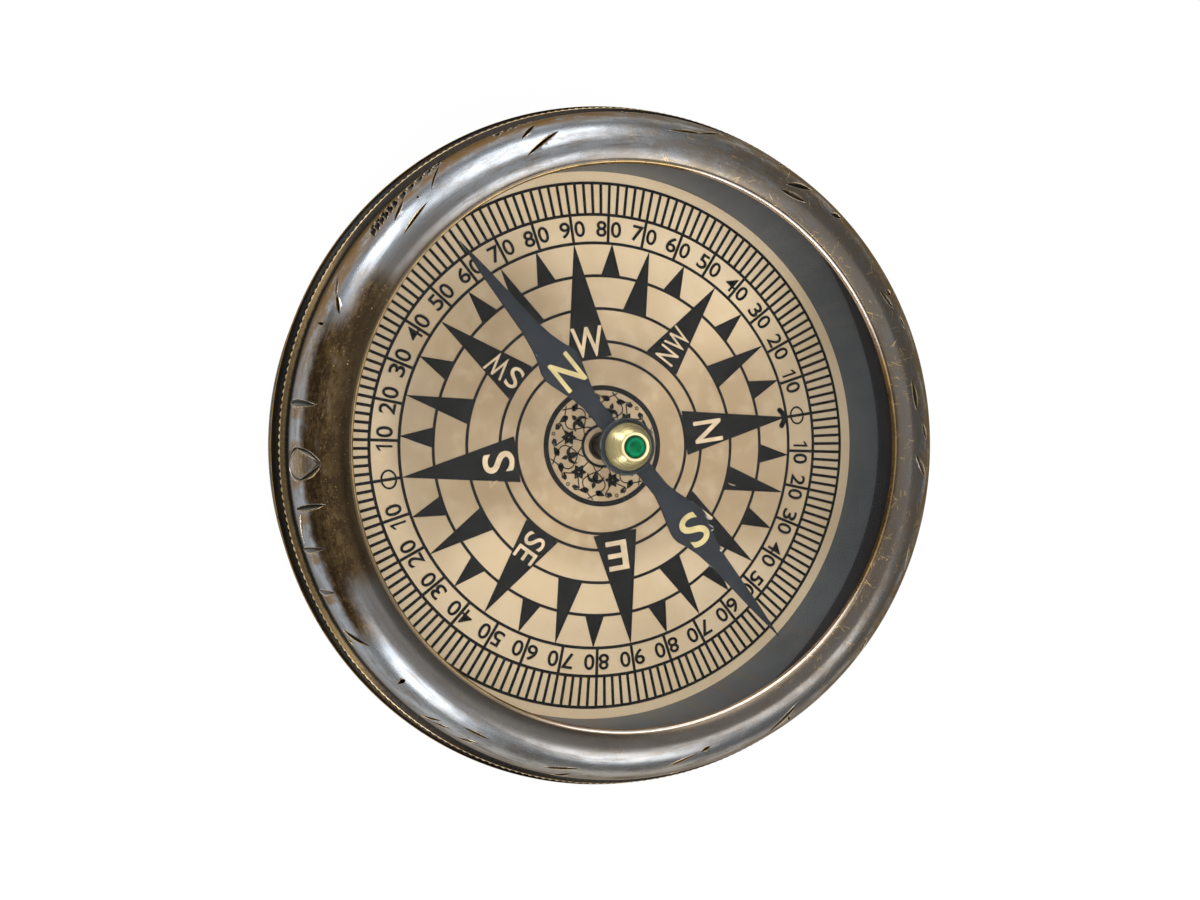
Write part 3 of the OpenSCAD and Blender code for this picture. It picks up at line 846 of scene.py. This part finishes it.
def makeDrum():
    r, outer = walls["drumRound"], drumR - milling["inside"]
    neckR = threadR - walls["play"]
    boreR = sleeveR + walls["seatGap"]
    ledgeZ = foot("dial_plate")
    outline = arc(outer - r, r, r, -90, 0, 8) + arc(outer - r, drumTop - r, r, 0, 90, 8)
    outline += [(neckR, drumTop), (neckR, ringTop)]
    # the thread shows as fine ridges in the open groove over the ring
    gap = footZ - ringTop
    for i in range(3):
        outline += [(neckR - milling["threadDeep"], ringTop + gap * (i + 0.5) / 3),
                    (neckR, ringTop + gap * (i + 1) / 3)]
    ledgeR, rimR = boreR - walls["ledge"], outer - walls["rim"]
    outline += [(neckR, neckTop), (boreR, neckTop), (boreR, ledgeZ), (ledgeR, ledgeZ), (ledgeR, walls["floor"]),
                (0, walls["floor"]), (0, walls["dish"]), (rimR, walls["dish"]), (rimR, 0)]
    put(lathe(outline, milling["drumSteps"]), "drumCase", "drum", "case", "case_dark", "case_body")


def makeMilledRing():
    teeth, deep, soft = milling["teeth"], walls["tooth"], milling["chamfer"]
    tipR = ringR - walls["ringInset"]
    rootR = tipR - deep
    outline = [(threadR, drumTop), (tipR, drumTop), (tipR, edgeTop - soft), (tipR - soft * 0.8, edgeTop),
               (rootR - 2 * walls["shoulder"], ringTop), (threadR, ringTop)]
    mesh = lathe(outline, teeth * milling["stepsPerTooth"])
    for vert in mesh.verts:
        out = hypot(vert.co.x, vert.co.y)
        if out > rootR - 0.05:
            phase = (atan2(vert.co.y, vert.co.x) / tau * teeth) % 1
            dip = deep * (1 - abs(sin(phase * pi))) * (1 if out > tipR - 0.01 else 0)
            vert.co.x *= (out - dip) / out
            vert.co.y *= (out - dip) / out
    put(mesh, "milledRing", "ring", "case", "ring_brass", "milled_ring", sharp=30)


makeDrum()
makeMilledRing()
print("stage: case")


# Well: sleeve, seat and seal as fine turned rings

well = {"steps": 360, "edge": 0.06}


def makeTube(name, node, inner, look, slot):
    low, high, e = foot(node), top(node), min(well["edge"], (top(node) - foot(node)) / 4)
    outline = [(inner, low + e), (inner + e, low), (sleeveR - e, low), (sleeveR, low + e), (sleeveR, high - e),
               (sleeveR - e, high), (inner + e, high), (inner, high - e)]
    put(lathe(outline, well["steps"]), name, look, "case", slot, node)


makeTube("sleeveTube", "well_sleeve", viewR, "sleeve", "sleeve")
makeTube("seatRing", "glass_seat", viewR - walls["seatIn"], "seat", "seat_paint")
makeTube("sealRing", "glass_seal", lipR + walls["lip"], "seal", "seal")
print("stage: well")

# Print: the numbers, the letters, the crescent and the ornament
printing = {"raise": 0.045, "digitTall": 1.88, "digitAt": 25.65, "tens": -0.85, "zero": 0.95, "digitWeight": 0.014,
            "fourWeight": 0.002, "bigZero": (2.25, 1.87, 25.42, 0.22), "creamRaise": 0.045,
            "crescent": {"at": 23.43, "span": 0.95, "sagitta": 0.45, "line": 0.66}}
digitWide = {"0": 1.27, "2": 1.25, "3": 1.25, "4": 1.34, "5": 1.25, "6": 1.27, "7": 1.38, "8": 1.27, "9": 1.27}
# a letter's bearing, width, height, distance from the middle, turn, line weight and shift
windLetters = (("N", 0, 2.68, 3.57, 13.47, 0, 0.0125, 0.2), ("E", 90, 2.58, 3.54, 13.19, 0, 0.0125, 0.1),
               ("S", 180, 2.4, 3.75, 12.69, 0, 0.0125, 0), ("W", 270, 3.9, 3.55, 12.4, 0, 0.0125, 0),
               ("N", 45, 1.6, 2.6, 13.85, 90, 0.006, 0), ("E", 45, 1.55, 2.6, 15.75, 90, 0.006, 0),
               ("S", 135, 1.6, 2.6, 13.9, 90, 0.006, 0), ("E", 135, 1.55, 2.6, 15.8, 90, 0.006, 0),
               ("S", 225, 1.6, 2.6, 13.35, 90, 0.006, 0), ("W", 225, 2.55, 2.6, 15.7, 90, 0.006, 0),
               ("N", 315, 1.6, 2.6, 13.55, 90, 0.006, 0), ("W", 315, 2.55, 2.6, 15.9, 90, 0.006, 0))
printZ = top("dial_print")


def curveMesh(data):
    holder = newObject("curve", data)
    mesh = bmesh.new()
    mesh.from_mesh(evaluated(holder))
    bpy.data.objects.remove(holder)
    return mesh


def glyph(text, wide, tall, weight, thick):
    data = bpy.data.curves.new("glyph", "FONT")
    data.body = text
    data.offset = weight
    data.extrude = 0.01
    data.resolution_u = 6
    mesh = curveMesh(data)
    bmesh.ops.remove_doubles(mesh, verts=mesh.verts, dist=0.0001)
    xs, ys = [v.co.x for v in mesh.verts], [v.co.y for v in mesh.verts]
    shift = Matrix.Translation((-(min(xs) + max(xs)) / 2, -(min(ys) + max(ys)) / 2, 0))
    size = Matrix.Diagonal((wide / (max(xs) - min(xs)), tall / (max(ys) - min(ys)), thick / 0.02, 1))
    bmesh.ops.transform(mesh, matrix=size @ shift, verts=mesh.verts)
    return mesh


def plate(points, thick):
    mesh = bmesh.new()
    face = mesh.faces.new([mesh.verts.new((x, y, -thick / 2)) for x, y in points])
    made = bmesh.ops.extrude_face_region(mesh, geom=[face])
    tops = [v for v in made["geom"] if isinstance(v, bmesh.types.BMVert)]
    bmesh.ops.translate(mesh, vec=(0, 0, thick), verts=tops)
    bmesh.ops.recalc_face_normals(mesh, faces=mesh.faces)
    return mesh


def digitOne(tall, thick):
    # a stem with a flag, drawn to the height of the other digits
    points = [(0.03, -0.5), (0.155, -0.5), (0.155, 0.5), (0.075, 0.5), (-0.185, 0.3), (-0.185, 0.175), (0.03, 0.31)]
    return plate([(x * tall, y * tall) for x, y in points], thick)


def inkLine(points, width, thick, closed=False):
    # points are x, y and an optional share of the width
    data = bpy.data.curves.new("line", "CURVE")
    data.dimensions = "3D"
    data.bevel_depth = width / 2
    data.bevel_resolution = 1
    data.resolution_u = 6
    data.use_fill_caps = True
    spline = data.splines.new("BEZIER")
    spline.bezier_points.add(len(points) - 1)
    for point, spot in zip(spline.bezier_points, points):
        point.co = (spot[0], spot[1], 0)
        point.radius = spot[2] if len(spot) > 2 else 1
        point.handle_left_type = point.handle_right_type = "AUTO"
    spline.use_cyclic_u = closed
    mesh = curveMesh(data)
    for vert in mesh.verts:
        vert.co.z = max(-1, min(1, vert.co.z / width * 2.5)) * thick / 2
    return mesh


def polar(r, turn, *share):
    a = radians(turn)
    return (-r * sin(a), r * cos(a), *share)


def makeNumbers():
    mesh = bmesh.new()
    thick, tall, at = printing["raise"], printing["digitTall"], printing["digitAt"]
    wide, high, zeroAt, line = printing["bigZero"]
    for bearing in range(0, 360, 10):
        tens = (90 - abs(bearing % 180 - 90)) // 10
        if tens == 0:
            ring = oval((wide - line) / 2, (high - line) / 2, 12)
            joinInto(mesh, inkLine(ring, line, thick, True), turned(-bearing, zeroAt, printZ))
            continue
        for text, shift in ((str(tens), printing["tens"]), ("0", printing["zero"])):
            weight = printing["fourWeight" if text == "4" else "digitWeight"]
            digit = digitOne(tall, thick) if text == "1" else glyph(text, digitWide[text], tall, weight, thick)
            joinInto(mesh, digit, turned(-bearing, at, printZ) @ aside(shift))
    put(mesh, "degreeNumbers", "ink", "case", "ink")


def makeLetters():
    mesh = bmesh.new()
    for text, bearing, wide, tall, r, spin, weight, shift in windLetters:
        letter = glyph(text, wide, tall, weight, printing["creamRaise"])
        joinInto(mesh, letter, turned(-bearing, r, printZ, spin) @ aside(shift))
    put(mesh, "windLetters", "creamPrint", "case", "card")


def makeCrescent():
    look, thick = printing["crescent"], printing["raise"]
    at, span, drop = look["at"], look["span"], look["sagitta"]
    points = [(span * k, at + drop / 2 - drop * k * k) for k in (-1, -0.5, 0, 0.5, 1)]
    mesh = inkLine(points, look["line"], thick)
    for x, y in (points[0], points[-1]):
        end = bmesh.new()
        bmesh.ops.create_cone(end, cap_ends=True, segments=24, radius1=look["line"] / 2, radius2=look["line"] / 2,
                              depth=thick)
        joinInto(mesh, end, Matrix.Translation((x, y, 0)))
    bmesh.ops.translate(mesh, vec=(0, 0, printZ), verts=mesh.verts)
    put(mesh, "northCrescent", "ink", "case", "ink")


# Middle ornament: stems with palmettes, flowers and leaves, between the eye and the thick ring
ornament = {
    "sectors": 6, "turnOff": 8, "line": 0.13,
    # strokes on both hands of a spine: its share of a sector, then distance, turn and share of the line's width
    "strokes": ((0, ((2.55, 14), (3.05, 3), (3.8, -12), (4.8, -17), (5.45, -11), (6.5, 3))),
                (0, ((4.15, 0, 4.2), (4.3, 6, 3.6), (4.12, 11.5, 2.4), (3.68, 16.5, 0.8))),
                (0.5, ((4.75, 4), (5.25, 9), (5.85, 13), (6.25, 9)))),
    # leaves on both hands: share of a sector, turn, distance, half length, width and spin
    "leaves": ((0, 10.5, 5.7, 0.66, 0.34, 68), (0, 9, 5.65, 0.4, 0.17, 150), (0.5, 9, 5.85, 0.46, 0.26, 120)),
    "palmette": ((3.7, 0.7, 0.36, 180), (4.85, 0.42, 0.26, 0)),
    # the flower, its petals' count, distance, half length and width, and the rings' distance and radius
    "flower": (4.25, 12), "petals": (6, 0.52, 0.46, 0.3), "rings": ((6.17, 0.17), (4.25, 0.2)), "ringLine": 0.1,
    "stalk": ((2.55, 0), (3.65, 0)),
}


def leafShape(length, width, thick, point=0.7):
    # a pointed leaf, broadest below its middle
    count = 7
    side = []
    for i in range(1, count):
        share = i / count
        side.append((width * sin(pi * share ** point) ** 1.2, length * (2 * share - 1)))
    points = [(0, -length)] + side + [(0, length)] + [(-x, y) for x, y in reversed(side)]
    return plate(points, thick)


def makeOrnament():
    mesh = bmesh.new()
    thick, line = printing["raise"], ornament["line"]
    step = 360 / ornament["sectors"]

    def stroke(points, spine, hand=1):
        joinInto(mesh, inkLine([polar(r, spine + hand * turn, *share) for r, turn, *share in points], line, thick))

    def leaf(turn, r, length, width, spin):
        joinInto(mesh, leafShape(length, width, thick), turned(turn, r, 0, spin))

    for i in range(ornament["sectors"]):
        base = i * step + ornament["turnOff"]
        half = base + step / 2
        for hand in (-1, 1):
            for share, points in ornament["strokes"]:
                stroke(points, base + share * step, hand)
            for share, turn, r, length, width, spin in ornament["leaves"]:
                leaf(base + share * step + hand * turn, r, length, width, hand * spin)
        for row in ornament["palmette"]:
            leaf(base, *row)
        count, away, length, width = ornament["petals"]
        r, spin = ornament["flower"]
        for petal in range(count):
            around = turned(half, r, 0, spin) @ turned(petal * 360 / count, away, 0)
            joinInto(mesh, leafShape(length, width, thick), around)
        for r, size in ornament["rings"]:
            joinInto(mesh, inkLine(oval(size, size, 8), ornament["ringLine"], thick, True), turned(half, r, 0))
        stroke(ornament["stalk"], half)
    bmesh.ops.translate(mesh, vec=(0, 0, printZ), verts=mesh.verts)
    put(mesh, "middleOrnament", "ink", "case", "ink")


# Wear on the card: a fibre on the print, and rubbed spots on two points of the rose, as x and y
marks = {"fibres": (((2.79, -14.13), (2.3, -13.5), (2.0, -13.18)), ((2.79, -14.13), (2.35, -14.0), (1.9, -14.05))),
         "rubs": (((6.9, 15.2), (7.2, 15.61), (7.3, 16.0)), ((-6.1, 14.4), (-6.0, 14.9)), ((14.6, -5.5), (15.0, -5.9)),
                   ((-15.1, -7.2), (-15.5, -7.0))), "width": 0.09, "thick": 0.04}


def makeMarks():
    mesh = bmesh.new()
    for line in marks["fibres"] + marks["rubs"]:
        points = [(x, y, 1 if k else 0.5) for k, (x, y) in enumerate(line)]
        joinInto(mesh, inkLine(points, marks["width"], marks["thick"]), turned(0, 0, printZ + 0.002))
    put(mesh, "rubbedSpots", "creamPrint", "case", "card")


makeNumbers()
makeLetters()
makeCrescent()
makeOrnament()
makeMarks()
print("stage: print")

# Pivot: the post is turned finer than its solid
postSizes = {"flange": 1.7, "flangeTall": 0.6, "stem": 1.35, "tip": 0.8, "tail": 0.9, "edge": 0.12, "bore": 0.37,
             "seat": 2.4, "steps": 96}


def makePost():
    low, tip, size = foot("pivot_post"), top("pivot_post"), postSizes
    r, edge, stem, bore = size["flange"], size["edge"], size["stem"], size["bore"]
    flangeTop, seatZ = cardZ + size["flangeTall"], tip - size["seat"]
    outline = [(size["tail"], low), (size["tail"], cardZ), (r, cardZ)]
    outline += arc(r - edge, flangeTop - edge, edge, 0, 90, 4)
    outline += [(stem, flangeTop), (stem, flangeTop + stem), (size["tip"], tip), (bore, tip), (bore, seatZ),
                (0, seatZ), (0, low)]
    put(lathe(outline, size["steps"]), "pivotPost", "bronze", "case", "post_bronze", "pivot_post")


makePost()

# Needle: the cut plate with softened edges, painted letters, and the turned pieces of the cap
needle = {"bearing": 238.3, "edge": 0.06, "north": (2.75, 3.8, 10.6, 0.1), "south": (2.63, 3.97, -12.4, 0.1),
          "weight": 0.011, "raise": 0.03,
          # chips in the paint of the south arm: x, y, half length, half width and turn
          "chips": ((2.13, -12.35, 0.5, 0.06, 9), (1.88, -13.35, 0.45, 0.05, 15), (1.66, -13.85, 0.22, 0.07, 80),
                    (0.98, -16.3, 0.2, 0.12, 12), (-1.1, -16.9, 0.12, 0.05, -8), (2.32, -11.4, 0.16, 0.04, 4),
                    (-1.4, 14.2, 0.12, 0.04, 10), (0.72, 24.6, 0.1, 0.03, 8))}


def makeBlade():
    mesh = bmesh.new()
    mesh.from_mesh(nodes["needle_blade"].data)
    bmesh.ops.scale(mesh, vec=(1 / mm,) * 3, verts=mesh.verts)
    bmesh.ops.remove_doubles(mesh, verts=mesh.verts, dist=0.001)
    bmesh.ops.dissolve_limit(mesh, angle_limit=radians(1), verts=mesh.verts, edges=mesh.edges)
    bmesh.ops.recalc_face_normals(mesh, faces=mesh.faces)
    rims = [e for e in mesh.edges if len(e.link_faces) == 2 and e.calc_face_angle() > radians(60)
            and abs(e.verts[0].co.z - e.verts[1].co.z) < 0.01]
    bmesh.ops.bevel(mesh, geom=rims, offset=needle["edge"], segments=2, profile=0.5, affect="EDGES", material=-1)
    put(mesh, "needleBlade", "needle", "needle", "needle_paint", "needle_blade", sharp=40)


def makeNeedleLetters():
    mesh, chips = bmesh.new(), bmesh.new()
    z = top("needle_blade")
    for text, (wide, tall, r, shift) in (("N", needle["north"]), ("S", needle["south"])):
        letter = glyph(text, wide, tall, needle["weight"], needle["raise"])
        joinInto(mesh, letter, turned(-needle["bearing"], r, z) @ aside(shift))
    for x, y, long, wide, spin in needle["chips"]:
        where = spun(-needle["bearing"]) @ Matrix.Translation((x, y, z)) @ spun(spin)
        joinInto(chips, leafShape(long, wide, needle["raise"]), where)
    put(mesh, "needleLetters", "needleLetters", "needle", "needle_paint")
    put(chips, "paintChips", "chip", "needle", "needle_paint")


capSizes = {"foot": 2.65, "footTall": 0.18, "neck": 1.6, "bore": 0.9, "pocket": 1.28, "shank": 1.3, "swell": 1.25,
            "grooves": 20, "groove": 0.036, "footEdge": 0.08, "hub": 3.2, "hubEdge": 0.14, "hubGap": 0.02, "rim": 1.6,
            "jewel": 1.26, "steps": 128}


def makeCap():
    z0, z1, low, pocketZ = top("needle_hub"), top("needle_cap"), foot("needle_cap"), foot("jewel")
    size, footR, neckR, shank = capSizes, capSizes["foot"], capSizes["neck"], capSizes["shank"]
    swellZ, corner = z0 + size["footTall"], size["footEdge"]
    outline = [(shank, low), (shank, z0), (footR - corner, z0), (footR, z0 + corner), (footR, swellZ)]
    # fine turned grooves, which draw the light out up its side
    swell, count = size["swell"], size["grooves"] * 6
    for i in range(1, count + 1):
        share = i / count
        dip = size["groove"] * (0.5 - 0.5 * cos(tau * share * size["grooves"]))
        outline.append((neckR + (footR - neckR) * (1 - share ** swell) ** (1 / swell) - dip,
                        swellZ + (z1 - swellZ) * share))
    outline += [(size["pocket"], z1), (size["pocket"], pocketZ), (size["bore"], pocketZ), (size["bore"], low)]
    put(lathe(outline, size["steps"]), "needleCap", "cap", "needle", "cap_brass", "needle_cap")


def makeHub():
    low, high, r, edge = foot("needle_hub"), top("needle_hub"), capSizes["hub"], capSizes["hubEdge"]
    inner = capSizes["shank"] + capSizes["hubGap"]
    outline = [(inner, low), (r, low), *arc(r - edge, high - edge, edge, 0, 90, 4), (inner, high)]
    put(lathe(outline, capSizes["steps"]), "hubDisc", "hub", "needle", "hub_black", "needle_hub")


def makeSetting():
    low, high = foot("jewel_setting"), top("jewel_setting")
    inner, outer = capSizes["pocket"], capSizes["rim"]
    half = (outer - inner) / 2
    outline = [(inner, low), (outer, low), (outer, high - half)]
    outline += arc(inner + half, high - half, half, 0, 180, 8)[1:]
    put(lathe(outline, capSizes["steps"]), "jewelRim", "setting", "needle", "setting", "jewel_setting")


def makeJewel():
    low, high = foot("jewel"), top("jewel")
    mesh = bmesh.new()
    bmesh.ops.create_cone(mesh, cap_ends=True, segments=32, radius1=capSizes["jewel"], radius2=capSizes["jewel"],
                          depth=high - low)
    bmesh.ops.translate(mesh, vec=(0, 0, (low + high) / 2), verts=mesh.verts)
    crown = [e for e in mesh.edges if all(v.co.z > high - 0.01 for v in e.verts)]
    bmesh.ops.bevel(mesh, geom=crown, offset=0.3, segments=1, profile=0.5, affect="EDGES", material=-1)
    put(mesh, "greenJewel", "jewel", "needle", "jewel", "jewel", sharp=8)


makeBlade()
makeNeedleLetters()
makeCap()
makeHub()
makeSetting()
makeJewel()
print("stage: needle")

# Nodes that keep their solids and take a finish
carried = {"dial_card": "paper", "dial_print": "ink", "dial_plate": "fixing", "glass": "glass", "pivot_pin": "steel",
           "pivot_washer": "fixing", "pivot_nut": "fixing", "clinch_ring": "fixing"}
for node, key in carried.items():
    slots = nodes[node].data.materials
    slots.clear()
    slots.append(finish[key])
print("stage: carried nodes")
